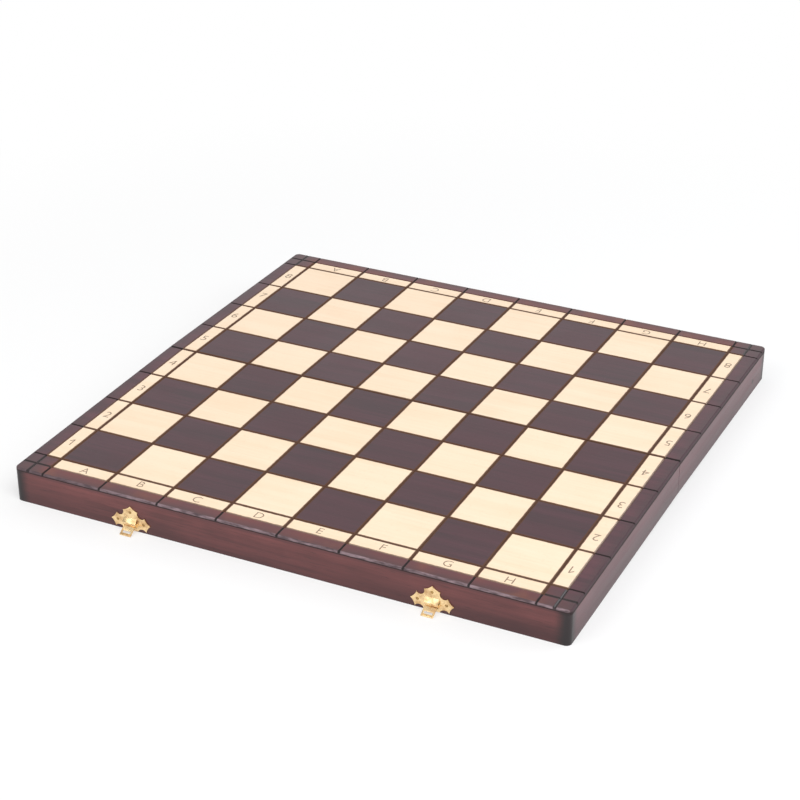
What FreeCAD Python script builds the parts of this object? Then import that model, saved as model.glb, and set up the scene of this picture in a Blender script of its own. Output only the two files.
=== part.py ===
import FreeCAD
import Part
import Sketcher

import math
import os
import re

from FreeCAD import Placement, Rotation, Vector

# Folding chess board: two shallow wooden trays, playing face up, joined by two butt hinges.
# Each half is drawn in its own frame: X along the fold, Y from the fold outwards, Z up from
# the hinge axis. The halves then tip together over the hinge barrels, which stand on the table
# with the two outer rims. The origin is on the table under the middle of the fold.

SIZES = {
    # playing face
    "board_side": 420.0,
    "border_width": 23.8,
    "strip_width": 12.4,
    "groove_width": 1.7,
    "groove_depth": 0.7,
    # tray of one half
    "playing_height": 26.8,
    "panel_thickness": 4.0,
    "rail_thickness": 9.0,
    "corner_radius": 4.0,
    "corner_land": 0.5,
    "edge_round": 1.2,
    "fold_gap": 0.2,
    "rim_gap": 0.2,
    "lining_thickness": 1.0,
    "lining_gap": 0.2,
    # butt hinges and their screws
    "hinge_setback": 75.0,
    "hinge_length": 30.0,
    "barrel_radius": 2.3,
    "barrel_clearance": 0.3,
    "leaf_thickness": 1.0,
    "leaf_reach": 8.0,
    "mortise_clearance": 0.1,
    "knuckle_gap": 0.15,
    "pin_clearance": 0.03,
    "screw_spacing": 18.0,
    "screw_setback": 5.3,
    "screw_head_radius": 1.8,
    "screw_shank_radius": 0.9,
    "screw_length": 8.0,
    "screw_clearance": 0.03,
    # star-pointed clasp and strike plates, heights taken from the hinge axis plane
    "clasp_setback": 95.5,
    "plate_thickness": 0.7,
    "top_tip_height": 19.4,
    "top_side_reach": 5.9,
    "top_side_height": 15.8,
    "lobe_top_reach": 11.2,
    "lobe_top_height": 12.2,
    "lobe_tip_reach": 15.7,
    "lobe_tip_height": 6.9,
    "lobe_foot_reach": 12.3,
    "lobe_foot_height": 1.4,
    "plate_foot_reach": 5.5,
    "plate_foot_height": 0.5,
    "point_notch": 0.6,
    "valley_notch": 2.9,
    "foot_notch": 2.1,
    # plate nails
    "top_nail_height": 14.6,
    "lobe_nail_reach": 10.4,
    "lobe_nail_height": 7.0,
    "nail_head_radius": 1.1,
    "nail_head_height": 0.5,
    "nail_shank_radius": 0.45,
    "nail_length": 6.0,
    "nail_clearance": 0.03,
    # hood pressed out of the clasp plate
    "hood_wall": 0.6,
    "hood_root_height": 10.6,
    "hood_brow_height": 7.4,
    "hood_lip_height": 6.0,
    "hood_foot_height": 3.0,
    "hood_stand": 3.4,
    "cheek_window_foot": 6.7,
    "cheek_window_top": 9.2,
    "cheek_window_inset": 0.9,
    # slotted flap that swings in the hood
    "flap_width": 8.8,
    "flap_side_gap": 0.2,
    "flap_thickness": 0.8,
    "flap_axis_height": 5.2,
    "flap_axis_stand": 1.7,
    "flap_pin_radius": 0.8,
    "flap_pin_clearance": 0.05,
    "flap_slot_width": 6.2,
    "flap_slot_start": 4.8,
    "flap_slot_end": 6.6,
    "flap_straight": 7.3,
    "curl_radius": 2.0,
    "curl_sweep": 40.0,
    # lip of the strike plate, which the flap's slot drops over
    "lip_side_gap": 0.5,
    "lip_thickness": 0.55,
    "lip_stand": 3.5,
}
SQUARES = 8
KNUCKLES = 5
QUARTER_BULGE = 1 - math.sqrt(0.5)

doc = FreeCAD.newDocument("FoldingChessBoard")
sheet = doc.addObject("Spreadsheet::Sheet", "Sizes")
for row, (alias, value) in enumerate(SIZES.items(), 1):
    sheet.set(f"A{row}", alias)
    sheet.set(f"B{row}", str(value))
    sheet.setAlias(f"B{row}", alias)
doc.recompute()


def tied(text):
    """The expression with every size's name pointed at the sheet."""
    return re.sub(r"\b[a-z]+(?:_[a-z]+)+\b", lambda name: "Sizes." + name.group(), text)


def size(text):
    """The value of an expression in the sheet's sizes."""
    return float(sheet.evalExpression(tied(text)))


def origin_part(body, role):
    return next(part for part in body.Origin.OriginFeatures if part.Role == role)


def new_sketch(body, plane, offset):
    """Empty sketch on one of the body's own planes, moved along that plane's normal."""
    sketch = body.newObject("Sketcher::SketchObject", "Sketch")
    sketch.AttachmentSupport = (origin_part(body, plane), [""])
    sketch.MapMode = "FlatFace"
    sketch.setExpression("AttachmentOffset.Base.z", tied(offset))
    return sketch


def pin_point(sketch, geometry, point, across, up):
    """Ties a sketch point to the origin by its two coordinates."""
    for kind, text in (("DistanceX", across), ("DistanceY", up)):
        constraint = Sketcher.Constraint(kind, -1, 1, geometry, point, size(text))
        index = sketch.addConstraint(constraint)
        sketch.setExpression(f"Constraints[{index}]", tied(text))


def add_loop(sketch, corners):
    """Closed outline through corners (across, up) or (across, up, bulge).

    A bulge bends the side that follows into an arc, to its left where it is positive."""
    ends = []
    for corner, after in zip(corners, corners[1:] + corners[:1]):
        start = Vector(size(corner[0]), size(corner[1]), 0)
        finish = Vector(size(after[0]), size(after[1]), 0)
        if len(corner) == 2:
            ends.append((sketch.addGeometry(Part.LineSegment(start, finish)), 1, 2))
            continue
        bulge = size(corner[2])
        along = (finish - start).normalize()
        middle = (start + finish) * 0.5 + Vector(-along.y, along.x, 0) * bulge
        index = sketch.addGeometry(Part.Arc(start, middle, finish))
        ends.append((index, 2, 1) if bulge > 0 else (index, 1, 2))
        span = f"(({corner[0]})-({after[0]}))^2+(({corner[1]})-({after[1]}))^2"
        radius = f"({span})/(8*abs({corner[2]}))+abs({corner[2]})/2"
        rule = sketch.addConstraint(Sketcher.Constraint("Radius", index, size(radius)))
        sketch.setExpression(f"Constraints[{rule}]", tied(radius))
    for (index, first, last), (following, entry, _) in zip(ends, ends[1:] + ends[:1]):
        sketch.addConstraint(Sketcher.Constraint("Coincident", index, last, following, entry))
    for corner, (index, first, last) in zip(corners, ends):
        pin_point(sketch, index, first, corner[0], corner[1])


def outline(body, plane, corners, offset="0"):
    sketch = new_sketch(body, plane, offset)
    add_loop(sketch, corners)
    return sketch


def circles(body, plane, centres, radii, offset="0"):
    """Sketch of circles: every radius is drawn about every centre."""
    sketch = new_sketch(body, plane, offset)
    for across, up in centres:
        for radius in radii:
            centre = Vector(size(across), size(up), 0)
            index = sketch.addGeometry(Part.Circle(centre, Vector(0, 0, 1), size(radius)))
            rule = sketch.addConstraint(Sketcher.Constraint("Radius", index, size(radius)))
            sketch.setExpression(f"Constraints[{rule}]", tied(radius))
            pin_point(sketch, index, 3, across, up)
    return sketch


def rectangle(left, right, low, high):
    return [(left, low), (right, low), (right, high), (left, high)]


def mirrored(corners):
    """The outline's mirror image across the upright axis, still walked round to the left."""
    turned = []
    for index in range(len(corners) - 1, -1, -1):
        across, up = corners[index][:2]
        turned.append((f"-({across})", up, *corners[index - 1][2:]))
    return turned


def add_feature(body, kind, sketch, length, reverse=False, symmetric=False):
    """Pad or Pocket of a sketch. A length of None cuts right through, both ways."""
    feature = body.newObject("PartDesign::" + kind, kind)
    feature.Profile = sketch
    feature.Reversed = reverse
    if symmetric or length is None:
        feature.SideType = "Symmetric"
    if length is None:
        feature.Type = "ThroughAll"
    else:
        feature.setExpression("Length", tied(length))
    before = body.Shape.Volume if not body.Shape.isNull() else 0
    doc.recompute()
    if abs(body.Shape.Volume - before) < 1e-6:
        raise RuntimeError(f"{feature.Name} of {body.Label} changes nothing")
    return feature


def repeat(body, features, axis, count, spacing):
    pattern = body.newObject("PartDesign::LinearPattern", "Pattern")
    pattern.Originals = features
    pattern.Direction = (origin_part(body, axis), [""])
    pattern.Mode = "Spacing"
    pattern.Occurrences = count
    pattern.setExpression("Offset", tied(spacing))
    body.Tip = pattern
    doc.recompute()


def mirror(body, features, plane):
    copy = body.newObject("PartDesign::Mirrored", "Mirrored")
    copy.Originals = features
    copy.MirrorPlane = (origin_part(body, plane), [""])
    body.Tip = copy
    doc.recompute()


def round_edges(body, feature, radius, chosen):
    """Rounds the edges of a feature that pass a test on their middle point."""
    names = []
    for number, edge in enumerate(feature.Shape.Edges, 1):
        middle = edge.valueAt((edge.FirstParameter + edge.LastParameter) / 2)
        if chosen(middle):
            names.append(f"Edge{number}")
    fillet = body.newObject("PartDesign::Fillet", "Fillet")
    fillet.Base = (feature, names)
    fillet.setExpression("Radius", tied(radius))
    doc.recompute()


NODES = []


def new_body(label, placement):
    """A named piece of the board, to be written to its own file."""
    body = doc.addObject("PartDesign::Body", label)
    body.Label = label
    body.Placement = placement
    NODES.append(body)
    return body


def group(label, master, placements):
    """Like fasteners as one named group of separate solids."""
    feature = doc.addObject("Part::Feature", label)
    feature.Label = label
    feature.Shape = Part.makeCompound([master.Shape.transformed(spot.toMatrix()) for spot in placements])
    feature.Placement = Placement()
    NODES.append(feature)


# Places shared by the pieces of one half
HALF = "board_side/2"
RIM = "rim_gap/2"
FOLD_FACE = "fold_gap/2"
RAIL_TOP = "playing_height-panel_thickness"
SIDE_INNER = "(board_side/2-rail_thickness)"
REBATE = "(rail_thickness-corner_radius-corner_land)"
RAIL_END = f"({SIDE_INNER}+{REBATE})"
FIELD_EDGE = f"({HALF}-border_width)"
STRIP_EDGE = f"({FIELD_EDGE}+strip_width)"
PITCH = f"(2*{FIELD_EDGE}/{SQUARES})"
HINGE = f"({HALF}-hinge_setback)"
CLASP = f"({HALF}-clasp_setback)"
ROUND = f"-corner_radius*{QUARTER_BULGE}"

REACH = f"sqrt(({HALF})^2+({RIM})^2)"
TILT = math.asin(size(f"barrel_radius/{REACH}")) + math.atan2(size(RIM), size(HALF))
LIFT = Vector(0, 0, size("barrel_radius"))
TIP = Rotation(Vector(1, 0, 0), math.degrees(TILT))
FAR = Placement(LIFT, TIP.inverted())
NEAR = Placement(LIFT, TIP * Rotation(Vector(0, 0, 1), 180))
HALVES = {"near": NEAR, "far": FAR}
# The near half is turned end for end, so its own +X lies to the left
TOWARDS = {("near", "left"): 1, ("near", "right"): -1, ("far", "left"): -1, ("far", "right"): 1}


def make_panel(half):
    """Playing panel: rounded outer corners and edges, crossed by V-shaped scorched grooves."""
    body = new_body(f"{half}_panel", HALVES[half])
    corners = [
        (f"-{HALF}", FOLD_FACE),
        (HALF, FOLD_FACE),
        (HALF, f"{HALF}-corner_radius", ROUND),
        (f"{HALF}-corner_radius", HALF),
        (f"-({HALF}-corner_radius)", HALF, ROUND),
        (f"-{HALF}", f"{HALF}-corner_radius"),
    ]
    slab = add_feature(body, "Pad", outline(body, "XY_Plane", corners, RAIL_TOP), "panel_thickness")
    top, fold = size("playing_height"), size(FOLD_FACE)
    round_edges(body, slab, "edge_round", lambda at: at.z > top - 1e-6 and at.y > fold + 1e-6)

    def groove(plane, centre):
        notch = [
            (f"{centre}-groove_width/2", "playing_height"),
            (centre, "playing_height-groove_depth"),
            (f"{centre}+groove_width/2", "playing_height"),
        ]
        return add_feature(body, "Pocket", outline(body, plane, notch), None)

    repeat(body, [groove("XZ_Plane", f"-{FIELD_EDGE}")], "X_Axis", SQUARES + 1, PITCH)
    mirror(body, [groove("XZ_Plane", STRIP_EDGE)], "YZ_Plane")
    repeat(body, [groove("YZ_Plane", f"0*{PITCH}")], "Y_Axis", SQUARES // 2 + 1, PITCH)
    groove("YZ_Plane", STRIP_EDGE)


def make_side_rail(half, side):
    """Side rail, the full depth of the half, rebated at both ends to take the cross rails."""
    body = new_body(f"{half}_{side}_rail", HALVES[half])
    corners = [
        (RAIL_END, FOLD_FACE),
        (HALF, FOLD_FACE),
        (HALF, f"{HALF}-corner_radius", ROUND),
        (f"{HALF}-corner_radius", HALF),
        (RAIL_END, HALF),
        (RAIL_END, SIDE_INNER),
        (SIDE_INNER, SIDE_INNER),
        (SIDE_INNER, f"{FOLD_FACE}+rail_thickness"),
        (RAIL_END, f"{FOLD_FACE}+rail_thickness"),
    ]
    if TOWARDS[half, side] < 0:
        corners = mirrored(corners)
    add_feature(body, "Pad", outline(body, "XY_Plane", corners, RIM), f"{RAIL_TOP}-({RIM})")


def clasp_nail_spots():
    """Nail places on one wall, as (across, up) pairs."""
    for side in ("-", ""):
        yield f"{side}{CLASP}", "top_nail_height"
        for lobe in ("-", "+"):
            yield f"{side}{CLASP}{lobe}lobe_nail_reach", "lobe_nail_height"


def make_outer_rail(half, name):
    """Front or back rail, with the nail holes of the clasp or strike plates."""
    body = new_body(f"{half}_{name}_rail", HALVES[half])
    bar = rectangle(f"-{RAIL_END}", RAIL_END, SIDE_INNER, HALF)
    add_feature(body, "Pad", outline(body, "XY_Plane", bar, RIM), f"{RAIL_TOP}-({RIM})")
    nail_holes = circles(body, "XZ_Plane", list(clasp_nail_spots()),
                         ["nail_shank_radius+nail_clearance"], f"-{HALF}")
    add_feature(body, "Pocket", nail_holes, "nail_length+nail_clearance-plate_thickness", reverse=True)


def make_spine_rail(half):
    """Rail beside the fold, mortised for the hinge leaves and hollowed for their barrels."""
    body = new_body(f"{half}_spine_rail", HALVES[half])
    bar = rectangle(f"-{RAIL_END}", RAIL_END, FOLD_FACE, f"{FOLD_FACE}+rail_thickness")
    add_feature(body, "Pad", outline(body, "XY_Plane", bar, RIM), f"{RAIL_TOP}-({RIM})")
    end = "(hinge_length/2+mortise_clearance)"
    bed = rectangle(f"{HINGE}-{end}", f"{HINGE}+{end}",
                    "0*leaf_reach", "leaf_reach+mortise_clearance")
    recess = outline(body, "XY_Plane", bed, RIM)
    mortise = add_feature(body, "Pocket", recess, "leaf_thickness", reverse=True)
    hollow = circles(body, "YZ_Plane", [("0*barrel_radius", "0*barrel_radius")],
                     ["barrel_radius+barrel_clearance"], HINGE)
    trough = add_feature(body, "Pocket", hollow, f"2*{end}", symmetric=True)
    spots = [(f"{HINGE}{way}screw_spacing/2", "screw_setback") for way in ("-", "+")]
    pilot = circles(body, "XY_Plane", spots, ["screw_shank_radius+screw_clearance"], RIM)
    holes = add_feature(body, "Pocket", pilot, "screw_length+screw_clearance", reverse=True)
    mirror(body, [mortise, trough, holes], "YZ_Plane")


def make_lining(half):
    """Felt sheet glued under the panel, inside the rails."""
    body = new_body(f"{half}_lining", HALVES[half])
    sheet_edge = f"{SIDE_INNER}-lining_gap"
    felt = rectangle(f"-({sheet_edge})", sheet_edge, f"{FOLD_FACE}+rail_thickness+lining_gap", sheet_edge)
    sketch = outline(body, "XY_Plane", felt, RAIL_TOP)
    add_feature(body, "Pad", sketch, "lining_thickness", reverse=True)


def make_leaf(half, side):
    """Hinge leaf with its own knuckles: the near leaf has the odd ones, the far leaf the even."""
    spot = Placement(Vector(TOWARDS[half, side] * size(HINGE), 0, 0), Rotation())
    body = new_body(f"{side}_hinge_{half}_leaf", HALVES[half] * spot)
    parity = 0 if half == "near" else 1
    knuckle = f"hinge_length/{KNUCKLES}"

    def tab(number):
        own = number % 2 == parity
        return "barrel_radius-leaf_thickness/2" if own else "barrel_radius+barrel_clearance"

    comb = [("-hinge_length/2", tab(0))]
    for number in range(1, KNUCKLES):
        way = "-" if (number - 1) % 2 == parity else "+"
        across = f"{number}*{knuckle}-hinge_length/2{way}knuckle_gap/2"
        comb += [(across, tab(number - 1)), (across, tab(number))]
    comb += [
        ("hinge_length/2", tab(KNUCKLES - 1)),
        ("hinge_length/2", "leaf_reach"),
        ("-hinge_length/2", "leaf_reach"),
    ]
    add_feature(body, "Pad", outline(body, "XY_Plane", comb, RIM), "leaf_thickness")
    ring = circles(body, "YZ_Plane", [("0*barrel_radius", "0*barrel_radius")],
                   ["barrel_radius", "barrel_radius-leaf_thickness"],
                   f"{parity + 0.5}*{knuckle}-hinge_length/2")
    roll = add_feature(body, "Pad", ring, f"{knuckle}-knuckle_gap", symmetric=True)
    repeat(body, [roll], "X_Axis", len(range(parity, KNUCKLES, 2)), f"2*{knuckle}")
    spots = [(f"{way}screw_spacing/2", "screw_setback") for way in ("-", "")]
    hole = body.newObject("PartDesign::Hole", "Hole")
    hole.Profile = circles(body, "XY_Plane", spots, ["screw_shank_radius"], RIM)
    doc.recompute()
    hole.Reversed = True
    hole.DepthType = "ThroughAll"
    hole.HoleCutType = "Countersink"
    hole.HoleCutCustomValues = True
    hole.HoleCutCountersinkAngle = 90
    hole.setExpression("Diameter", tied("2*(screw_shank_radius+screw_clearance)"))
    hole.setExpression("HoleCutDiameter", tied("2*(screw_head_radius+screw_clearance)"))
    doc.recompute()


def make_pin(side):
    """Hinge pin, running through all the knuckles of one hinge."""
    spot = Placement(Vector(TOWARDS["near", side] * size(HINGE), 0, 0), Rotation())
    body = new_body(f"{side}_hinge_pin", NEAR * spot)
    section = circles(body, "YZ_Plane", [("0*barrel_radius", "0*barrel_radius")],
                      ["barrel_radius-leaf_thickness-pin_clearance"])
    add_feature(body, "Pad", section, "hinge_length", symmetric=True)


def turned_master(label, profile):
    """A turned fastener, drawn once and copied to its places."""
    body = doc.addObject("PartDesign::Body", label)
    sketch = outline(body, "XZ_Plane", profile)
    turn = body.newObject("PartDesign::Revolution", "Revolution")
    turn.Profile = sketch
    turn.ReferenceAxis = (sketch, ["V_Axis"])
    turn.Angle = 360
    doc.recompute()
    return body


def make_screw():
    """Countersunk screw, head at the bottom and shank upwards."""
    profile = [
        ("0*screw_length", "0*screw_length"),
        ("screw_head_radius", "0*screw_length"),
        ("screw_shank_radius", "screw_head_radius-screw_shank_radius"),
        ("screw_shank_radius", "screw_length"),
        ("0*screw_length", "screw_length"),
    ]
    return turned_master("screw", profile)


def make_nail():
    """Round-headed nail, its head seated on the plate and its shank running inwards."""
    dome = "((nail_head_radius^2+nail_head_height^2)/(2*nail_head_height))"
    dome_bulge = f"{dome}-sqrt({dome}^2-{dome}*nail_head_height/2)"
    profile = [
        ("0*nail_length", "plate_thickness-nail_length"),
        ("nail_shank_radius", "plate_thickness-nail_length"),
        ("nail_shank_radius", "plate_thickness"),
        ("nail_head_radius", "plate_thickness", f"-({dome_bulge})"),
        ("0*nail_length", "plate_thickness+nail_head_height"),
    ]
    return turned_master("nail", profile)


def clasp_frame(half, side):
    """Frame of a plate: X along the wall, Y up from the hinge axis plane, Z out of the wall."""
    turn = Rotation(Vector(-1, 0, 0), Vector(0, 0, 1), Vector(0, 1, 0), "ZXY")
    spot = Vector(TOWARDS[half, side] * size(CLASP), size(HALF), 0)
    return HALVES[half] * Placement(spot, turn)


# Left half of the star, walked down from the top tip: three lobes of three points in all
STAR_LEFT = [
    ("0*top_tip_height", "top_tip_height", "point_notch"),
    ("-top_side_reach", "top_side_height", "valley_notch"),
    ("-lobe_top_reach", "lobe_top_height", "point_notch"),
    ("-lobe_tip_reach", "lobe_tip_height", "point_notch"),
    ("-lobe_foot_reach", "lobe_foot_height", "foot_notch"),
    ("-plate_foot_reach", "plate_foot_height"),
]
STAR = STAR_LEFT + mirrored(STAR_LEFT)[:-1]


def make_plate(label, frame):
    """Stamped star plate with its three nail holes."""
    body = new_body(label, frame)
    add_feature(body, "Pad", outline(body, "XY_Plane", STAR), "plate_thickness")
    spots = [("0*lobe_nail_reach", "top_nail_height")]
    spots += [(f"{way}lobe_nail_reach", "lobe_nail_height") for way in ("-", "")]
    holes = circles(body, "XY_Plane", spots, ["nail_shank_radius+nail_clearance"])
    add_feature(body, "Pocket", holes, None)
    return body


def make_clasp_plate(side):
    """Clasp plate: a hood with two cheeks is pressed out of the star to hold the flap's pin."""
    body = make_plate(f"{side}_clasp_plate", clasp_frame("near", side))
    inner = "(flap_width/2+flap_side_gap)"
    outer = f"({inner}+hood_wall)"
    window = rectangle(f"-{inner}", inner, "hood_foot_height", "hood_root_height")
    add_feature(body, "Pocket", outline(body, "XY_Plane", window), None)
    roof = [
        ("hood_root_height", "0*hood_stand"),
        ("hood_root_height", "plate_thickness"),
        ("hood_brow_height", "hood_stand"),
        ("hood_lip_height", "hood_stand"),
        ("hood_lip_height", "hood_stand-plate_thickness"),
        ("hood_brow_height", "hood_stand-plate_thickness"),
    ]
    add_feature(body, "Pad", outline(body, "YZ_Plane", roof), f"2*{outer}", symmetric=True)
    cheek = [
        ("hood_foot_height", "0*hood_stand"),
        ("hood_root_height", "0*hood_stand"),
        ("hood_root_height", "plate_thickness"),
        ("hood_brow_height", "hood_stand"),
        ("hood_lip_height", "hood_stand"),
        ("hood_foot_height", "plate_thickness"),
    ]
    wall = add_feature(body, "Pad", outline(body, "YZ_Plane", cheek, inner), "hood_wall")
    mirror(body, [wall], "YZ_Plane")
    opening = [
        ("cheek_window_foot", "cheek_window_inset"),
        ("cheek_window_top", "cheek_window_inset"),
        ("cheek_window_foot", "hood_stand-cheek_window_inset"),
    ]
    add_feature(body, "Pocket", outline(body, "YZ_Plane", opening), None)
    bore = circles(body, "YZ_Plane", [("flap_axis_height", "flap_axis_stand")],
                   ["flap_pin_radius+flap_pin_clearance"])
    add_feature(body, "Pocket", bore, None)


def make_strike_plate(side):
    """Strike plate: the same star with a square lip standing out beside the rim."""
    body = make_plate(f"{side}_strike_plate", clasp_frame("far", side))
    edge = "(flap_slot_width/2-lip_side_gap)"
    lip = rectangle(f"-{edge}", edge, "plate_foot_height", "plate_foot_height+lip_thickness")
    add_feature(body, "Pad", outline(body, "XY_Plane", lip), "lip_stand")


def flap_rest_angle():
    """Angle from hanging at which the flap's curl just rests on the table."""
    down, out = size("flap_straight"), size("curl_radius")
    axis = NEAR.multVec(Vector(0, size(f"{HALF}+flap_axis_stand"), size("flap_axis_height")))
    above_curl = axis.z - out - size("flap_thickness/2")
    swing = math.acos(above_curl / math.hypot(down, out)) - math.atan2(out, down)
    return math.degrees(swing + TILT)


def make_flap(side):
    """Slotted flap with its pin, curled out at the end as a finger lip."""
    hang = Placement(Vector(0, size("flap_axis_height"), size("flap_axis_stand")),
                     Rotation(Vector(1, 0, 0), -flap_rest_angle()))
    body = new_body(f"{side}_clasp_flap", clasp_frame("near", side) * hang)
    bend = math.radians(size("curl_sweep"))
    skin = "flap_thickness/2"

    def curl_end(radius):
        return f"-flap_straight-({radius})*{math.sin(bend)}", f"curl_radius-({radius})*{math.cos(bend)}"

    def sag(radius):
        return f"({radius})*{1 - math.cos(bend / 2)}"

    under, over = f"curl_radius+{skin}", f"curl_radius-{skin}"
    strap = [
        ("0*flap_straight", f"-{skin}"),
        ("0*flap_straight", skin),
        ("-flap_straight", skin, f"-({sag(over)})"),
        curl_end(over),
        (*curl_end(under), sag(under)),
        ("-flap_straight", f"-{skin}"),
    ]
    add_feature(body, "Pad", outline(body, "YZ_Plane", strap), "flap_width", symmetric=True)
    pin = circles(body, "YZ_Plane", [("0*flap_pin_radius", "0*flap_pin_radius")], ["flap_pin_radius"])
    add_feature(body, "Pad", pin, "flap_width+2*(flap_side_gap+hood_wall)", symmetric=True)
    slot = rectangle("-flap_slot_width/2", "flap_slot_width/2", "-flap_slot_end", "-flap_slot_start")
    add_feature(body, "Pocket", outline(body, "XY_Plane", slot), None)


def screw_spots(half):
    for side in ("left", "right"):
        for way in (-1, 1):
            across = TOWARDS[half, side] * size(HINGE) + way * size("screw_spacing/2")
            yield HALVES[half] * Placement(Vector(across, size("screw_setback"), size(RIM)), Rotation())


def nail_spots(half):
    reach, up = size("lobe_nail_reach"), size("lobe_nail_height")
    spots = [Vector(0, size("top_nail_height"), 0), Vector(-reach, up, 0), Vector(reach, up, 0)]
    for side in ("left", "right"):
        for spot in spots:
            yield clasp_frame(half, side) * Placement(spot, Rotation())


for half, outer_name in (("near", "front"), ("far", "back")):
    make_panel(half)
    make_outer_rail(half, outer_name)
    make_side_rail(half, "left")
    make_side_rail(half, "right")
    make_spine_rail(half)
    make_lining(half)
for side in ("left", "right"):
    make_leaf("near", side)
    make_leaf("far", side)
    make_pin(side)
    make_clasp_plate(side)
    make_flap(side)
    make_strike_plate(side)
screw = make_screw()
nail = make_nail()
for half, plates in (("near", "clasp"), ("far", "strike")):
    group(f"{half}_hinge_screws", screw, list(screw_spots(half)))
    group(f"{plates}_nails", nail, list(nail_spots(half)))

doc.recompute()
for item in doc.Objects:
    if "Invalid" in item.State or "Error" in item.State:
        raise RuntimeError(f"{item.Label} failed: {item.State}")
for node in NODES:
    if node.Shape.isNull() or not node.Shape.isValid():
        raise RuntimeError(f"{node.Label} has no valid shape")

print(f"tilt of each half {math.degrees(TILT):.4f} degrees, flap at rest {flap_rest_angle():.3f} degrees")
os.makedirs("parts", exist_ok=True)
for node in NODES:
    node.Shape.exportStep(f"parts/{node.Label}.step")
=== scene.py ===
import math

import bmesh
import bpy
from mathutils import Matrix, Vector


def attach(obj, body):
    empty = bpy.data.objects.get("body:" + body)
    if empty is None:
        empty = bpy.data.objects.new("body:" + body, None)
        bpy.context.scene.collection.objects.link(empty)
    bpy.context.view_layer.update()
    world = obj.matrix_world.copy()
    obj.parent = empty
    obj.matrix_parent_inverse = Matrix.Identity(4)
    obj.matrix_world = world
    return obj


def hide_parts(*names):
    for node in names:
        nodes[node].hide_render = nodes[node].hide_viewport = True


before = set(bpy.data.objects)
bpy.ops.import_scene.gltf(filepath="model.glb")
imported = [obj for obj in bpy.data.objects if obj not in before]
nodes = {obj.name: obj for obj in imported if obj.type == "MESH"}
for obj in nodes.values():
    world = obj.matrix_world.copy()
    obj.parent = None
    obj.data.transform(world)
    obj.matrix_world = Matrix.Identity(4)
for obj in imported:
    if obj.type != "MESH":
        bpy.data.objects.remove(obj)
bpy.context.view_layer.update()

# Playing panels: one birch panel per half, its dark fields stained red-brown and its pale
# fields left natural, with a burnt groove round every field, all under satin lacquer.
# Stain and burn follow the squares, label strips and border, measured in millimetres.
MM = 1000.0
PITCH = 46.55
STRIP_WIDTH = 12.4
FIELD_EDGE = 4 * PITCH
STRIP_EDGE = FIELD_EDGE + STRIP_WIDTH
HALF_SIDE = 210.0
FACE_SHIFT = 0.306
FACE_HEIGHT = 29.098
FACE_SLOPE = 0.01143


def place(tree, kind, links=None, **settings):
    """A shader node with its settings, and its inputs either linked or given a value."""
    node = tree.nodes.new("ShaderNode" + kind)
    for name, value in settings.items():
        setattr(node, name, value)
    for key, value in (links or {}).items():
        socket = node.inputs[key]
        if isinstance(value, bpy.types.NodeSocket):
            tree.links.new(value, socket)
        else:
            socket.default_value = value
    return node


def sum_of(tree, operation, *values):
    """Result of one math node."""
    return place(tree, "Math", dict(enumerate(values)), operation=operation).outputs[0]


def times(tree, first, second):
    return sum_of(tree, "MULTIPLY", first, second)


def plus(tree, first, second):
    return sum_of(tree, "ADD", first, second)


def minus(tree, first, second):
    return sum_of(tree, "SUBTRACT", first, second)


def larger(tree, first, second):
    return sum_of(tree, "MAXIMUM", first, second)


def smaller(tree, first, second):
    return sum_of(tree, "MINIMUM", first, second)


def past(tree, value, limit):
    """One where a value is past its limit, and nothing elsewhere."""
    return sum_of(tree, "GREATER_THAN", value, limit)


def unsigned(tree, value):
    return sum_of(tree, "ABSOLUTE", value)


def scaled(tree, value, factor, start):
    """A value times a factor, counted from a start."""
    return sum_of(tree, "MULTIPLY_ADD", value, factor, start)


def ramp(tree, value, low, high, start=0.0, end=1.0):
    """Smooth step of a value from start, at low, to end, at high."""
    links = {"Value": value, "From Min": low, "From Max": high, "To Min": start, "To Max": end}
    return place(tree, "MapRange", links, interpolation_type="SMOOTHSTEP").outputs["Result"]


def fade(tree, value, span, most=1.0):
    """Mask that is at its most below a span of distances and gone beyond it."""
    return ramp(tree, value, *span, start=most, end=0.0)


def mixed(tree, share, first, second):
    """Mix of two colours."""
    colours = {index: value if isinstance(value, bpy.types.NodeSocket) else (*value, 1.0)
               for index, value in ((6, first), (7, second))}
    return place(tree, "Mix", {0: share, **colours}, data_type="RGBA").outputs[2]


def tinted(tree, ground, mask, tint, strength):
    """A ground colour with a tint laid over it where a mask says."""
    return mixed(tree, times(tree, mask, strength), ground, tint)


def noise(tree, vector, scale, detail=3.0, rough=0.5):
    links = {"Vector": vector, "Scale": scale, "Detail": detail, "Roughness": rough}
    return place(tree, "TexNoise", links).outputs["Fac"]


def drawn_noise(tree, vector, draw, scale=1.0, detail=2.0, rough=0.5):
    """Noise that is squeezed by a factor for each axis, and so drawn out along the smallest."""
    drawn = place(tree, "Mapping", {"Vector": vector, "Scale": draw}).outputs[0]
    return noise(tree, drawn, scale, detail, rough)


def new_group(name, inputs, outputs):
    """Empty node group with its sockets, given as name to type."""
    tree = bpy.data.node_groups.new(name, "ShaderNodeTree")
    for in_out, sockets in (("INPUT", inputs), ("OUTPUT", outputs)):
        for socket, kind in sockets.items():
            tree.interface.new_socket(socket, in_out=in_out, socket_type="NodeSocket" + kind)
    given = tree.nodes.new("NodeGroupInput").outputs
    return tree, given, tree.nodes.new("NodeGroupOutput").inputs


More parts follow.
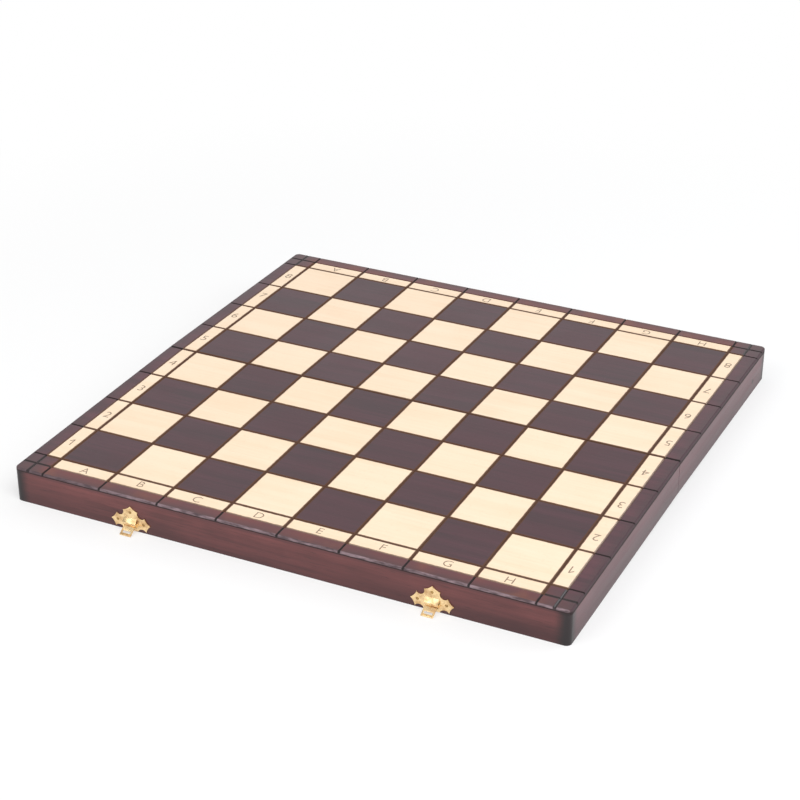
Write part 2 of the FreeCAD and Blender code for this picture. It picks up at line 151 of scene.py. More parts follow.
# Grain runs along the group's own X: long streaks, short pores and broad cloudy stain
STREAK_DRAW = (6.0, 90.0, 90.0)
FIBRE_DRAW = (14.0, 420.0, 420.0)
PORE_DRAW = (90.0, 1500.0, 1500.0)
CLOUD_SCALE = 22.0
STREAK_SHARE = 0.6
FIBRE_SHARE = 0.4
STREAK_RANGE = (0.3, 0.7)
PORE_RANGE = (0.58, 0.72)
CLOUD_RANGE = (0.35, 0.65)

grain_group, given, wanted = new_group(
    "wood_grain", {"Vector": "Vector"}, {"Streak": "Float", "Pores": "Float", "Cloud": "Float"})
broad = drawn_noise(grain_group, given["Vector"], STREAK_DRAW, detail=4.0, rough=0.55)
fibres = drawn_noise(grain_group, given["Vector"], FIBRE_DRAW, detail=3.0, rough=0.6)
streak = plus(grain_group, times(grain_group, broad, STREAK_SHARE),
              times(grain_group, fibres, FIBRE_SHARE))
pores = drawn_noise(grain_group, given["Vector"], PORE_DRAW)
cloud = noise(grain_group, given["Vector"], CLOUD_SCALE)
grain_group.links.new(ramp(grain_group, streak, *STREAK_RANGE), wanted["Streak"])
grain_group.links.new(ramp(grain_group, pores, *PORE_RANGE), wanted["Pores"])
grain_group.links.new(ramp(grain_group, cloud, *CLOUD_RANGE), wanted["Cloud"])


def new_material(name):
    """Material with an empty tree, its Principled shader and the object's own coordinates."""
    material = bpy.data.materials.new(name)
    material.use_nodes = True
    tree = material.node_tree
    shader = tree.nodes["Principled BSDF"]
    return material, tree, shader, place(tree, "TexCoord").outputs["Object"]


def wood_grain(tree, vector):
    node = place(tree, "Group", node_tree=grain_group)
    tree.links.new(vector, node.inputs["Vector"])
    return node.outputs


def in_millimetres(tree, spot):
    """The object's own coordinates in millimetres: across, away and up."""
    apart = place(tree, "SeparateXYZ", {"Vector": spot}).outputs
    return [times(tree, apart[axis], MM) for axis in "XYZ"]


def roughened(tree, shader, height, strength, distance):
    """Gives a finish a fine relief."""
    bump = place(tree, "Bump", {"Height": height, "Strength": strength, "Distance": distance})
    tree.links.new(bump.outputs["Normal"], shader.inputs["Normal"])


# Streaks stand up a little under the lacquer and pores lie in
STREAK_RELIEF = 0.4


def open_grain(tree, shader, grain, strength, distance):
    """Relief of lacquered wood whose pores were not filled."""
    streaks = times(tree, grain["Streak"], STREAK_RELIEF)
    roughened(tree, shader, minus(tree, streaks, grain["Pores"]), strength, distance)


def give_finish(node, material):
    """Puts a finish on a piece that keeps its plain solid's shape."""
    nodes[node].data.materials.clear()
    nodes[node].data.materials.append(material)


panel_finish, tree, shader, spot = new_material("stained_and_lacquered_panel")
across, away, up = in_millimetres(tree, spot)
reach = minus(tree, unsigned(tree, away), FACE_SHIFT)
rank_place = times(tree, sum_of(tree, "SIGN", away), reach)
side = unsigned(tree, across)
depth = minus(tree, scaled(tree, reach, -FACE_SLOPE, FACE_HEIGHT), up)

# Dark and pale fields: squares by turns, label strips pale, border and corner cells dark
file_number = sum_of(tree, "FLOOR", sum_of(tree, "DIVIDE", across, PITCH))
rank_number = sum_of(tree, "FLOOR", sum_of(tree, "DIVIDE", rank_place, PITCH))
turn = sum_of(tree, "FLOORED_MODULO", plus(tree, file_number, rank_number), 2.0)
past_files = past(tree, side, FIELD_EDGE)
past_ranks = past(tree, reach, FIELD_EDGE)
in_corner = times(tree, past_files, past_ranks)
in_strip = unsigned(tree, minus(tree, past_files, past_ranks))
in_field = minus(tree, 1.0, larger(tree, past_files, past_ranks))
furthest = larger(tree, side, reach)
in_border = past(tree, furthest, STRIP_EDGE)
in_frame = larger(tree, in_border, in_corner)
pale_cell = larger(tree, in_strip, times(tree, in_field, turn))
pale = times(tree, pale_cell, minus(tree, 1.0, in_border))

# Distance to the nearest groove, and the burn that fades away from it. The burning tool
# wandered a little, pressed less in the border and more in the corner cells.
WANDER_SCALE = 260.0
WANDER = 0.5
LESS_IN_BORDER = 0.4
MORE_IN_CORNER = -0.5
BURN_DEPTH = (1.1, 1.9)
CORE_SPAN = (0.1, 0.8)
GROOVE_SPAN = (1.0, 1.5)
HALO_SPAN = (1.1, 1.8)
THIN_SPAN = (0.5, 1.0)

wander = scaled(tree, noise(tree, spot, WANDER_SCALE, 2.0), WANDER, -WANDER / 2)


def line_distance(place_along):
    """Distance from the nearest of the lines between fields."""
    return sum_of(tree, "PINGPONG", place_along, PITCH / 2)


def strip_distance(place_along):
    """Distance from the outer line of the label strip."""
    return unsigned(tree, minus(tree, unsigned(tree, place_along), STRIP_EDGE))


nearest_file = line_distance(across)
nearest = smaller(tree, nearest_file, line_distance(rank_place))
nearest_outer = smaller(tree, strip_distance(across), strip_distance(rank_place))
frayed = plus(tree, nearest, scaled(tree, in_border, LESS_IN_BORDER, wander))
frayed_file = plus(tree, nearest_file, wander)
frayed_outer = plus(tree, nearest_outer, scaled(tree, in_corner, MORE_IN_CORNER, wander))
shallow = fade(tree, depth, BURN_DEPTH)
groove_core = times(tree, fade(tree, frayed, CORE_SPAN), shallow)
groove = times(tree, fade(tree, frayed, GROOVE_SPAN), shallow)
halo = times(tree, fade(tree, frayed_file, HALO_SPAN), shallow)
thin_groove = times(tree, fade(tree, frayed_outer, THIN_SPAN), shallow)

# Rounded outer edge, blackened where the scorching tool ran, and the smoked corner cells.
# The ends are the front and back borders, which took the stain warmer than the sides.
EDGE_WANDER = 1.4
WALL_WANDER = 0.8
EDGE_SMOKE_SPAN = (0.5, 8.0)
EDGE_SCORCH_AND_GLINT_SPAN = (0.9, 1.5)
WALL_START = (1.3, 1.7)
CORNER_SMOKE_SPAN = (13.0, 25.0)
END_BLEND = (-16.0, 16.0)

from_edge = minus(tree, HALF_SIDE, furthest)
ragged_edge = scaled(tree, wander, EDGE_WANDER, from_edge)
ragged_depth = scaled(tree, wander, WALL_WANDER, depth)
smoked_edge = fade(tree, ragged_edge, EDGE_SMOKE_SPAN)
# mask of the rounded edge: it carries the scorch and, at the front and back, the painted
# highlight
round_scorch_and_glint = fade(tree, ragged_edge, EDGE_SCORCH_AND_GLINT_SPAN)
wall_side = ramp(tree, ragged_depth, *WALL_START)
from_corner = minus(tree, HALF_SIDE, smaller(tree, side, reach))
smoked_corner = fade(tree, from_corner, CORNER_SMOKE_SPAN)
at_ends = past(tree, reach, side)
near_ends = ramp(tree, minus(tree, reach, side), *END_BLEND)

# Natural birch of the pale fields, and the stain of the dark ones
BIRCH = ((0.865, 0.650, 0.450), (0.930, 0.725, 0.535))
BIRCH_CLOUD = (0.95, 0.755, 0.565)
BIRCH_FLECK = (0.74, 0.520, 0.330)
FLECK_SCALE = 420.0
FLECK_RANGE = (0.55, 0.75)
FIELD_STAIN = ((0.027, 0.0062, 0.0110), (0.064, 0.0140, 0.0245))
FIELD_CLOUD = (0.056, 0.0135, 0.0205)

grain = wood_grain(tree, spot)
flecks = noise(tree, spot, FLECK_SCALE, 3.0, 0.6)
birch = mixed(tree, grain["Streak"], *BIRCH)
birch = tinted(tree, birch, grain["Cloud"], BIRCH_CLOUD, strength=0.35)
birch = mixed(tree, ramp(tree, flecks, *FLECK_RANGE, end=0.22), birch, BIRCH_FLECK)
stain = mixed(tree, grain["Streak"], *FIELD_STAIN)
stain = tinted(tree, stain, grain["Cloud"], FIELD_CLOUD, strength=0.5)

# Stain of the border: warm and tanned in places at the ends, smoked to the edge and corners
BORDER_STAIN = ((0.047, 0.0125, 0.0205), (0.089, 0.0235, 0.0345))
BORDER_WARM = (0.142, 0.0285, 0.0240)
WARM_CLOUDS = 0.5
WARM_LEAST = 0.35
EDGE_SMOKE = (0.032, 0.0190, 0.0215)
CORNER_SMOKE = (0.056, 0.0270, 0.0320)
BORDER_TAN = (0.170, 0.0480, 0.0260)
TAN_SCALE = 45.0
TAN_RANGE = (0.52, 0.70)

border = mixed(tree, grain["Streak"], *BORDER_STAIN)
warm = times(tree, scaled(tree, grain["Cloud"], WARM_CLOUDS, WARM_LEAST), near_ends)
border = mixed(tree, warm, border, BORDER_WARM)
border = tinted(tree, border, smoked_edge, EDGE_SMOKE, strength=0.45)
border = tinted(tree, border, smoked_corner, CORNER_SMOKE, strength=0.5)
tanned = ramp(tree, noise(tree, spot, TAN_SCALE, 2.0), *TAN_RANGE, end=0.5)
tanned = times(tree, tanned, minus(tree, near_ends, smoked_corner))
border = mixed(tree, tanned, border, BORDER_TAN)

# Scorch of the rounded edge, with a painted highlight at the ends: pale glints in places, fewer
# towards the left
END_SCORCH_AND_GLINT = ((0.075, 0.0500, 0.0570), (0.280, 0.2000, 0.2200))
SIDE_SCORCH = (0.064, 0.0350, 0.0420)
GLINT_DRAW = (0.28, 1.0, 1.0)
GLINT_SCALE = 480.0
GLINT_RANGE = (0.28, 0.72)
FEWER_GLINTS_LEFT = (-195.0, -90.0)

# painted highlight: pale glints streaked along the rounded edge at the front and back, fading out
# towards the left end
painted_glints = ramp(tree, drawn_noise(tree, spot, GLINT_DRAW, GLINT_SCALE), *GLINT_RANGE)
painted_glints = times(tree, painted_glints, ramp(tree, across, *FEWER_GLINTS_LEFT, start=0.2))
scorch_and_glint = mixed(tree, at_ends, SIDE_SCORCH, mixed(tree, painted_glints, *END_SCORCH_AND_GLINT))
border = tinted(tree, border, round_scorch_and_glint, scorch_and_glint, strength=0.92)

# Edge of the panel in the wall, with a charred line that lies lower along the sides
WALL_STAIN = ((0.080, 0.0230, 0.0250), (0.150, 0.0460, 0.0480))
WALL_CORNER_SPAN = (4.0, 12.0)
CORNER_SCORCH = (0.008, 0.0060, 0.0070)
CORNER_STRENGTH = 0.92
WALL_CHAR = (0.022, 0.0100, 0.0110)
WALL_CHAR_SPAN = (2.1, 2.8)
LOWER_AT_SIDES = 1.2

wall_stain = mixed(tree, grain["Streak"], *WALL_STAIN)
wall_corner = fade(tree, from_corner, WALL_CORNER_SPAN, CORNER_STRENGTH)
wall_stain = mixed(tree, wall_corner, wall_stain, CORNER_SCORCH)
char_depth = scaled(tree, at_ends, LOWER_AT_SIDES, minus(tree, ragged_depth, LOWER_AT_SIDES))
wall_char = fade(tree, char_depth, WALL_CHAR_SPAN, 0.95)
wall_stain = mixed(tree, wall_char, wall_stain, WALL_CHAR)
border = mixed(tree, wall_side, border, wall_stain)

# Burnt lines over all of it: brown between the fields, nearly black in the border and corners
GROOVE_BURN = ((0.098, 0.0385, 0.0160), (0.008, 0.0030, 0.0028))
CORE_BURN = ((0.068, 0.0250, 0.0095), (0.003, 0.0012, 0.0012))
THIN_BURN = ((0.105, 0.0450, 0.0240), (0.008, 0.0035, 0.0035))
HALO_BURN = (0.120, 0.0530, 0.0240)
HALO_STRENGTH = 0.85

colour = mixed(tree, in_frame, mixed(tree, pale, stain, birch), border)
thin_colour = mixed(tree, in_corner, *THIN_BURN)
colour = tinted(tree, colour, thin_groove, thin_colour, strength=0.85)
pale_halo = times(tree, halo, times(tree, pale, HALO_STRENGTH))
colour = mixed(tree, pale_halo, colour, HALO_BURN)
colour = tinted(tree, colour, groove, mixed(tree, in_border, *GROOVE_BURN), strength=0.95)
colour = tinted(tree, colour, groove_core, mixed(tree, in_border, *CORE_BURN), strength=0.8)
tree.links.new(colour, shader.inputs["Base Color"])

# Satin lacquer, matt where the wood is burnt
LACQUER_ROUGH = 0.25
FLECK_ROUGH = 0.10
CLOUD_ROUGH = 0.06
BURNT_ROUGH = 0.45

on_top = larger(tree, minus(tree, in_border, wall_side), 0.0)
burnt = larger(tree, times(tree, round_scorch_and_glint, on_top), times(tree, wall_char, wall_side))
burnt = larger(tree, burnt, groove)
lacquer = scaled(tree, flecks, FLECK_ROUGH, LACQUER_ROUGH)
lacquer = scaled(tree, grain["Cloud"], CLOUD_ROUGH, lacquer)
tree.links.new(scaled(tree, burnt, BURNT_ROUGH, lacquer), shader.inputs["Roughness"])
shader.inputs["Specular IOR Level"].default_value = 0.45
open_grain(tree, shader, grain, strength=0.25, distance=0.00006)

for half in ("near", "far"):
    give_finish(half + "_panel", panel_finish)

# Rails: eight beech bars round the two trays, stained the same red-brown and lacquered.
# The side rails are rebated to take the front, back and spine rails, so their end grain
# shows as a narrow darker band at both ends of the front and back walls.
# painted light: the front, back and spine rails and the side rails take the same stain, but each
# group gets its own copy, matched to how its walls take the light
CROSS_STAIN_AND_LIGHT = ((0.078, 0.0200, 0.0205), (0.220, 0.0600, 0.0580))
SIDE_STAIN_AND_LIGHT = ((0.083, 0.0310, 0.0390), (0.159, 0.0580, 0.0690))
BLOTCH_SCALE = 13.0
BLOTCH_RANGE = (0.36, 0.64)
PORE_STAIN = (0.045, 0.0140, 0.0140)
# painted shade: the walls darken towards their foot
FOOT_PAINTED_SHADE = (0.024, 0.0080, 0.0110)
FOOT_SHADE_SPAN = (1.0, 23.0)
RAIL_CORNER_SPAN = (4.5, 13.5)
CORNER_FRAY_SCALE = 120.0
CORNER_FRAY = 2.0
# painted shade: a ragged dark band along the bottom 1 to 2 mm of the walls, where they meet the
# floor
LOW_EDGE_PAINTED_SHADE = (0.030, 0.0120, 0.0120)
LOW_EDGE_SHADE_SPAN = (0.6, 1.8)
LOW_EDGE_FRAY_SCALE = 300.0
LOW_EDGE_FRAY = 1.5
# A small dark pit in the right wall, placed in metres
PIT_PLACE = (0.2100, 0.1784, 0.0105)
PIT_SPAN = (0.0014, 0.0026)
PIT_STAIN = (0.008, 0.0040, 0.0040)
RAIL_ROUGH = 0.33
RAIL_STREAK_ROUGH = 0.10


def rail_finish(name, lengthwise, deep, light):
    """Stained rail wood, from deep to light, with its grain along one of the board's axes."""
    material, tree, shader, spot = new_material(name)
    turn = (0.0, 0.0, 0.0) if lengthwise == "X" else (0.0, 0.0, math.pi / 2)
    along = place(tree, "Mapping", {"Vector": spot, "Rotation": turn}).outputs[0]
    across, away, up = in_millimetres(tree, spot)
    grain = wood_grain(tree, along)
    stain = mixed(tree, grain["Streak"], deep, light)
    stain = tinted(tree, stain, grain["Cloud"], light, strength=0.45)
    blotches = ramp(tree, noise(tree, along, BLOTCH_SCALE, 2.0), *BLOTCH_RANGE, end=0.4)
    stain = mixed(tree, blotches, stain, deep)
    stain = tinted(tree, stain, grain["Pores"], PORE_STAIN, strength=0.5)
    # painted shade, darkening the rails towards their foot
    stain = mixed(tree, fade(tree, up, FOOT_SHADE_SPAN, 0.55), stain, FOOT_PAINTED_SHADE)
    inward = smaller(tree, unsigned(tree, across), unsigned(tree, away))
    from_corner = minus(tree, HALF_SIDE, inward)
    frayed = scaled(tree, noise(tree, spot, CORNER_FRAY_SCALE, 2.0), CORNER_FRAY, from_corner)
    scorched_corner = fade(tree, frayed, RAIL_CORNER_SPAN, CORNER_STRENGTH)
    stain = mixed(tree, scorched_corner, stain, CORNER_SCORCH)
    # painted shade along the bottom edge of the rails
    low_edge = scaled(tree, noise(tree, spot, LOW_EDGE_FRAY_SCALE, 2.0), LOW_EDGE_FRAY, up)
    stain = mixed(tree, fade(tree, low_edge, LOW_EDGE_SHADE_SPAN, 0.55), stain, LOW_EDGE_PAINTED_SHADE)
    to_pit = place(tree, "VectorMath", {0: spot, 1: PIT_PLACE}, operation="DISTANCE")
    pit = fade(tree, to_pit.outputs["Value"], PIT_SPAN, 0.95)
    stain = mixed(tree, pit, stain, PIT_STAIN)
    tree.links.new(stain, shader.inputs["Base Color"])
    rough = scaled(tree, grain["Streak"], RAIL_STREAK_ROUGH, RAIL_ROUGH)
    tree.links.new(rough, shader.inputs["Roughness"])
    open_grain(tree, shader, grain, strength=0.3, distance=0.00008)
    return material


# two copies of the one stain for walls that are lit differently, which is painted light
cross_rail_stain_and_light = rail_finish("stained_cross_rail_painted_light", "X", *CROSS_STAIN_AND_LIGHT)
side_rail_stain_and_light = rail_finish("stained_side_rail_painted_light", "Y", *SIDE_STAIN_AND_LIGHT)
for rail in ("near_front", "near_spine", "far_back", "far_spine"):
    give_finish(rail + "_rail", cross_rail_stain_and_light)
for rail in ("near_left", "near_right", "far_left", "far_right"):
    give_finish(rail + "_rail", side_rail_stain_and_light)

# Felt linings: a sheet of green wool felt cut to each tray and glued under the panel.
# The nap is fine and matt, with faint clouds where the glue took more or less.
FELT = ((0.010, 0.050, 0.022), (0.040, 0.135, 0.065))
FELT_CLOUD = (0.030, 0.095, 0.045)
NAP_SCALE = 900.0
FELT_CLOUD_SCALE = 30.0
FELT_ROUND = 0.00025
FELT_SMOOTH_BELOW = 40

felt_finish, tree, shader, spot = new_material("green_wool_felt")
nap = noise(tree, spot, NAP_SCALE, 4.0, 0.7)
clouds = noise(tree, spot, FELT_CLOUD_SCALE)
felt = tinted(tree, mixed(tree, nap, *FELT), clouds, FELT_CLOUD, strength=0.4)
tree.links.new(felt, shader.inputs["Base Color"])
shader.inputs["Roughness"].default_value = 0.95
shader.inputs["Sheen Weight"].default_value = 0.4
shader.inputs["Sheen Roughness"].default_value = 0.5
roughened(tree, shader, nap, strength=0.7, distance=0.0003)


def merged_copy(node, gap, flat_below):
    """Copy of a plain solid with its loose triangles joined into whole flat faces."""
    shape = bmesh.new()
    shape.from_mesh(nodes[node].data)
    bmesh.ops.remove_doubles(shape, verts=shape.verts, dist=gap)
    bmesh.ops.dissolve_limit(shape, angle_limit=flat_below, verts=shape.verts, edges=shape.edges)
    return shape


def ease(shape, edges, width):
    """Rounds edges off by a small width."""
    bmesh.ops.bevel(shape, geom=edges, offset=width, offset_type="OFFSET", segments=2,
                    profile=0.5, affect="EDGES", material=-1)


def as_piece(name, shape, material, body, smooth_below=None):
    """Turns a finished bmesh into a named piece that rides on a body."""
    mesh = bpy.data.meshes.new(name)
    if smooth_below is not None:
        for face in shape.faces:
            face.smooth = True
        for edge in shape.edges:
            edge.smooth = edge.is_manifold and edge.calc_face_angle() < math.radians(smooth_below)
    shape.to_mesh(mesh)
    shape.free()
    mesh.materials.append(material)
    piece = bpy.data.objects.new(name, mesh)
    bpy.context.scene.collection.objects.link(piece)
    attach(piece, body)
    return piece


for half in ("near", "far"):
    shape = merged_copy(half + "_lining", gap=1e-6, flat_below=0.02)
    ease(shape, shape.edges, FELT_ROUND)
    felt_sheet = as_piece(half + "_felt", shape, felt_finish, half + "_half",
                          FELT_SMOOTH_BELOW)
    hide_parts(half + "_lining")

# Butt hinges: rolled brass leaves let into the spine rails, a drawn pin through the knuckles
# and countersunk screws. The stamped leaves have slightly eased edges.
HINGE_BRASS = ((0.72, 0.52, 0.25), (0.52, 0.36, 0.17))
SCREW_BRASS = ((0.46, 0.31, 0.14), (0.34, 0.22, 0.10))
PATCH_SCALE = 180.0
PATCH_RANGE = (0.4, 0.68)
ROLLING_DRAW = (300.0, 2600.0, 2600.0)
PATCH_ROUGH = 0.14
ROLLING_ROUGH = 0.08
METAL_GAP = 2e-6
METAL_FLAT_BELOW = 0.01
METAL_SMOOTH_BELOW = 35
EASED = 0.00012
SHORTEST_EDGE = 0.00015
HEAD_AREA = 6e-6
SLOT_WIDTH = 0.0006
SLOT_DEPTH = 0.0004
SLOT_FLOOR = 0.72


def brass_finish(name, bright, dull, rough, brushed=0.12):
    """Rolled brass with faint rolling lines and dull patches."""
    material, tree, shader, spot = new_material(name)
    patches = ramp(tree, noise(tree, spot, PATCH_SCALE), *PATCH_RANGE)
    lines = drawn_noise(tree, spot, ROLLING_DRAW)
    tree.links.new(mixed(tree, patches, bright, dull), shader.inputs["Base Color"])
    shader.inputs["Metallic"].default_value = 1.0
    worn = scaled(tree, patches, PATCH_ROUGH, rough)
    tree.links.new(scaled(tree, lines, ROLLING_ROUGH, worn), shader.inputs["Roughness"])
    roughened(tree, shader, lines, brushed, distance=0.00004)
    return material


def eased_copy(name, node, material, body):
    """A stamped metal piece with its sharp edges eased, standing for the plain solid."""
    shape = merged_copy(node, METAL_GAP, METAL_FLAT_BELOW)
    sharp = [edge for edge in shape.edges
             if edge.is_manifold and edge.calc_length() > SHORTEST_EDGE
             and edge.calc_face_angle() > math.radians(METAL_SMOOTH_BELOW)]
    ease(shape, sharp, EASED)
    bmesh.ops.triangulate(shape, faces=shape.faces)
    bmesh.ops.dissolve_degenerate(shape, dist=METAL_GAP, edges=shape.edges)
    piece = as_piece(name, shape, material, body, METAL_SMOOTH_BELOW)
    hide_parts(node)


def slotted_screws(half, material):
    """The countersunk screws of one half, with eased rims and a slot sawn across each head."""
    node = half + "_hinge_screws"
    shape = merged_copy(node, METAL_GAP, METAL_FLAT_BELOW)
    heads = [face for face in shape.faces if face.calc_area() > HEAD_AREA]
    ease(shape, list({edge for face in heads for edge in face.edges}), EASED)
    for head in [face for face in shape.faces if face.calc_area() > HEAD_AREA]:
        middle = head.calc_center_median()
        geom = [head, *head.edges, *head.verts]
        for side in (-0.5, 0.5):
            wall = middle + Vector((side * SLOT_WIDTH, 0.0, 0.0))
            geom = bmesh.ops.bisect_plane(shape, geom=geom, dist=1e-7, plane_co=wall,
                                          plane_no=(1.0, 0.0, 0.0))["geom"]
        flats = [face for face in geom if isinstance(face, bmesh.types.BMFace)]
        slot = min(flats, key=lambda face: abs(face.calc_center_median().x - middle.x))
        bmesh.ops.inset_individual(shape, faces=[slot], thickness=0.0, depth=-SLOT_DEPTH)
        bmesh.ops.scale(shape, verts=slot.verts, vec=(1.0, SLOT_FLOOR, 1.0),
                        space=Matrix.Translation(-middle))
    bmesh.ops.triangulate(shape, faces=shape.faces)
    screws = as_piece(node + "_slotted", shape, material, half + "_half",
                      METAL_SMOOTH_BELOW)
    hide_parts(node)


hinge_brass = brass_finish("rolled_hinge_brass", *HINGE_BRASS, rough=0.24, brushed=0.04)
screw_brass = brass_finish("darkened_screw_brass", *SCREW_BRASS, rough=0.30, brushed=0.04)
for side in ("left", "right"):
    for half in ("near", "far"):
        leaf = f"{side}_hinge_{half}_leaf"
        eased_copy(leaf + "_eased", leaf, hinge_brass, half + "_half")
    give_finish(side + "_hinge_pin", hinge_brass)
for half in ("near", "far"):
    slotted_screws(half, screw_brass)

# Clasps and strikes: bright stamped brass. A star plate is nailed to each outer wall; the
# hood pressed out of the clasp plate carries the slotted flap on its pin.
CLASP_BRASS = ((0.96, 0.715, 0.395), (0.66, 0.42, 0.205))
NAIL_BRASS = ((0.46, 0.29, 0.11), (0.34, 0.20, 0.08))

clasp_brass = brass_finish("stamped_clasp_brass", *CLASP_BRASS, rough=0.17)
nail_brass = brass_finish("darkened_nail_brass", *NAIL_BRASS, rough=0.34)
for side in ("left", "right"):
    for stamping, body in (("clasp_plate", "near_half"), ("clasp_flap", side + "_flap"),
                           ("strike_plate", "far_half")):
        node = f"{side}_{stamping}"
        eased_copy(node + "_eased", node, clasp_brass, body)
for nails in ("clasp_nails", "strike_nails"):
    give_finish(nails, nail_brass)

# Field labels: letters along the front and back strips and numbers along the side strips,
# printed in thin brown strokes. The front and left ones read from the near side of the board,
# the others from the far side.
LETTER_HEIGHT = 0.0072
NUMBER_HEIGHT = 0.0082
CAPITAL_SHARE = 0.70
THINNER_STROKE = -0.00010
INK_LIFT = 0.00002
INK = ((0.17, 0.118, 0.078), (0.34, 0.245, 0.165))
INK_WEAR_SCALE = 700.0
STRIP_MIDDLE = (FIELD_EDGE + STRIP_EDGE) / 2
# Each stamp was set by hand, so it sits off the middle of its cell, in millimetres across
# and away
CENTRED = (0.0, 0.0)
FRONT_DRIFT = {"A": (1.3, -0.7), "B": (0.3, 0.3), "C": (-0.9, -0.5), "D": (1.1, -0.5),
               "E": (0.9, -0.3), "F": (1.2, -0.6), "G": (1.0, 0.0), "H": (-1.5, -0.9)}
LEFT_DRIFT = {"1": (-1.5, 0.2), "4": (-0.6, -0.2), "5": (-1.0, 1.2), "6": (-0.7, 2.9),
              "7": (-0.1, 2.0)}
RIGHT_DRIFT = {"1": (0.7, -1.8), "2": (0.4, -4.7), "3": (0.8, -4.6), "4": (1.1, -3.0),
               "5": (1.4, -1.9), "6": (0.1, -2.4), "7": (0.1, -1.7), "8": (0.8, 0.7)}

label_ink, tree, shader, spot = new_material("brown_label_ink")
worn = noise(tree, spot, INK_WEAR_SCALE)
tree.links.new(mixed(tree, worn, *INK), shader.inputs["Base Color"])
shader.inputs["Roughness"].default_value = 0.5


def flagged_one(height):
    """The numeral one, which the plain lettering lacks: a stem with a slanting flag."""
    stem = 0.00085
    flag = 0.30 * height
    top = height / 2
    flag_low = top - 0.9 * flag
    points = [(0.0, -top), (stem, -top), (stem, top), (0.0, top), (-flag, flag_low),
              (-flag, flag_low - 1.2 * stem), (0.0, top - 1.5 * stem)]
    shape = bmesh.new()
    corners = [shape.verts.new((x + flag / 3, y, -INK_LIFT)) for x, y in points]
    outline = shape.faces.new(corners)
    raised = bmesh.ops.extrude_face_region(shape, geom=[outline])["geom"]
    top_corners = [corner for corner in raised if isinstance(corner, bmesh.types.BMVert)]
    bmesh.ops.translate(shape, verts=top_corners, vec=(0.0, 0.0, 2 * INK_LIFT))
    bmesh.ops.recalc_face_normals(shape, faces=shape.faces)
    mesh = bpy.data.meshes.new("label")
    shape.to_mesh(mesh)
    shape.free()
    return mesh


def label_mesh(text, height):
    """Outline of one printed character, lying flat with its middle at the origin."""
    curve = bpy.data.curves.new("label", "FONT")
    curve.body = text
    curve.size = height / CAPITAL_SHARE
    curve.offset = THINNER_STROKE
    curve.extrude = INK_LIFT
    curve.align_x = "CENTER"
    carrier = bpy.data.objects.new("label", curve)
    bpy.context.scene.collection.objects.link(carrier)
    bpy.context.view_layer.update()
    depsgraph = bpy.context.evaluated_depsgraph_get()
    mesh = bpy.data.meshes.new_from_object(carrier.evaluated_get(depsgraph))
    bpy.data.objects.remove(carrier)
    lows = [min(vertex.co[axis] for vertex in mesh.vertices) for axis in (0, 1)]
    highs = [max(vertex.co[axis] for vertex in mesh.vertices) for axis in (0, 1)]
    mesh.transform(Matrix.Translation((-(lows[0] + highs[0]) / 2, -(lows[1] + highs[1]) / 2, 0)))
    return mesh


def on_face(outward, across, reach):
    """Place on a half's tipped playing face, in metres, from its distances in millimetres."""
    away = outward * (reach + FACE_SHIFT)
    height = FACE_HEIGHT - FACE_SLOPE * reach + INK_LIFT * MM
    tip = Matrix.Rotation(-outward * FACE_SLOPE, 4, "X")
    return Matrix.Translation((across / MM, away / MM, height / MM)) @ tip


facing_near = Matrix.Identity(4)
facing_far = Matrix.Rotation(math.pi, 4, "Z")
for half, outward in (("near", -1), ("far", 1)):
    marks = []
    for number, letter in enumerate("ABCDEFGH"):
        turned = facing_near if half == "near" else facing_far
        drift = FRONT_DRIFT[letter] if half == "near" else CENTRED
        marks.append((letter, (number - 3.5) * PITCH, STRIP_MIDDLE, drift, turned))
    for step in range(4):
        number = str(4 - step if half == "near" else 5 + step)
        centre = (step + 0.5) * PITCH
        left_drift = LEFT_DRIFT.get(number, CENTRED)
        marks.append((number, -STRIP_MIDDLE, centre, left_drift, facing_near))
        marks.append((number, STRIP_MIDDLE, centre, RIGHT_DRIFT[number], facing_far))
    shape = bmesh.new()
    for text, across, reach, drift, turned in marks:
        height = NUMBER_HEIGHT if text.isdigit() else LETTER_HEIGHT
        mesh = flagged_one(height) if text == "1" else label_mesh(text, height)
        mesh.transform(on_face(outward, across + drift[0], reach + outward * drift[1]) @ turned)
        shape.from_mesh(mesh)
        bpy.data.meshes.remove(mesh)
    as_piece(half + "_labels", shape, label_ink, half + "_half")

# Studio: a wide pale floor, three large soft lamps and an even white surround. The camera has
# the height, bearing and long lens of a catalogue picture.
FLOOR_RADIUS = 9.0
FLOOR_COLOUR = (0.90, 0.90, 0.90, 1.0)
WHITE = (1.0, 1.0, 1.0)
COOL_WHITE = (0.86, 0.93, 1.0)
# Distances from the board's middle, in metres, over which the floor turns to plain white
FLOOR_FADE = (0.25, 0.75)
FLOOR_WHITE_LEAST = 0.5
# The surround lights the board evenly, and metal and lacquer see it dimmer in front
SURROUND_LIGHT = 0.62
FRONT_TO_BACK = (-0.7, 0.4)
FRONT_MIRRORED = 0.45
LENS = 91.87
SENSOR_WIDTH = 36.0
CAMERA_PLACE = (0.57404, -1.22231, 0.73330)
CAMERA_TURN = (62.4673, -0.2466, 25.6590)

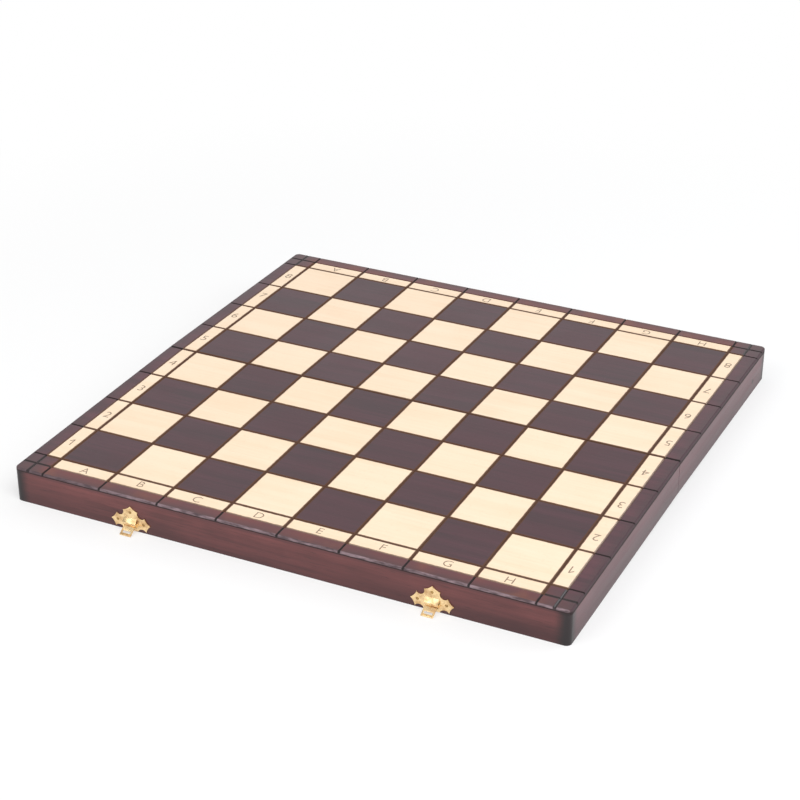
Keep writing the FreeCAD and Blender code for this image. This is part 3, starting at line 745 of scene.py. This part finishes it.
shape = bmesh.new()
bmesh.ops.create_circle(shape, cap_ends=True, segments=96, radius=FLOOR_RADIUS)
floor_mesh = bpy.data.meshes.new("floor")
shape.to_mesh(floor_mesh)
shape.free()
floor = bpy.data.objects.new("floor", floor_mesh)
bpy.context.scene.collection.objects.link(floor)
pale_floor, tree, shader, spot = new_material("pale_floor")
shader.inputs["Base Color"].default_value = FLOOR_COLOUR
shader.inputs["Roughness"].default_value = 0.8
shader.inputs["Specular IOR Level"].default_value = 0.0
floor_mesh.materials.append(pale_floor)
white = place(tree, "Emission", {"Color": (*WHITE, 1.0)}).outputs[0]
from_middle = place(tree, "VectorMath", {0: spot}, operation="LENGTH").outputs["Value"]
rays = place(tree, "LightPath").outputs
mirrored = larger(tree, rays["Is Glossy Ray"], rays["Is Transmission Ray"])
seen = larger(tree, rays["Is Camera Ray"], mirrored)
share = times(tree, ramp(tree, from_middle, *FLOOR_FADE, start=FLOOR_WHITE_LEAST), seen)
faded = place(tree, "MixShader", {0: share, 1: shader.outputs[0], 2: white})
tree.links.new(faded.outputs[0], tree.nodes["Material Output"].inputs["Surface"])


def soft_lamp(name, stand, aim, size, power, colour=WHITE):
    """Square area lamp turned towards a point."""
    light = bpy.data.lights.new(name, "AREA")
    light.shape = "SQUARE"
    light.size = size
    light.energy = power
    light.color = colour
    lamp = bpy.data.objects.new(name, light)
    lamp.location = stand
    lamp.rotation_mode = "QUATERNION"
    lamp.rotation_quaternion = (Vector(aim) - Vector(stand)).to_track_quat("-Z", "Y")
    bpy.context.scene.collection.objects.link(lamp)


soft_lamp("key_lamp", (1.1, -0.9, 1.9), aim=(0.0, 0.0, 0.0), size=1.3, power=26.0)
soft_lamp("fill_lamp", (-0.75, -1.8, 1.6), aim=(0.0, 0.0, 0.0), size=1.4, power=15.0)
soft_lamp("side_lamp", (1.5, 1.2, 0.8), aim=(0.2, 0.0, 0.0), size=1.2, power=11.0,
          colour=COOL_WHITE)

world = bpy.data.worlds.new("studio")
bpy.context.scene.world = world
world.use_nodes = True
tree = world.node_tree
surround = tree.nodes["Background"]
surround.inputs["Color"].default_value = (*WHITE, 1.0)
rays = place(tree, "LightPath").outputs
bearing = place(tree, "TexCoord").outputs["Generated"]
apart = place(tree, "SeparateXYZ", {"Vector": bearing}).outputs
mirrored = ramp(tree, apart["Y"], *FRONT_TO_BACK, start=FRONT_MIRRORED)
seen = larger(tree, rays["Is Camera Ray"], rays["Is Transmission Ray"])
direct = ramp(tree, seen, 0.0, 1.0, start=SURROUND_LIGHT)
strength = ramp(tree, rays["Is Glossy Ray"], 0.0, 1.0, direct, mirrored)
tree.links.new(strength, surround.inputs["Strength"])

camera_data = bpy.data.cameras.new("camera")
camera_data.lens = LENS
camera_data.sensor_width = SENSOR_WIDTH
camera = bpy.data.objects.new("camera", camera_data)
camera.location = CAMERA_PLACE
camera.rotation_euler = [math.radians(angle) for angle in CAMERA_TURN]
bpy.context.scene.collection.objects.link(camera)
bpy.context.scene.camera = camera
bpy.context.scene.view_settings.view_transform = "Standard"
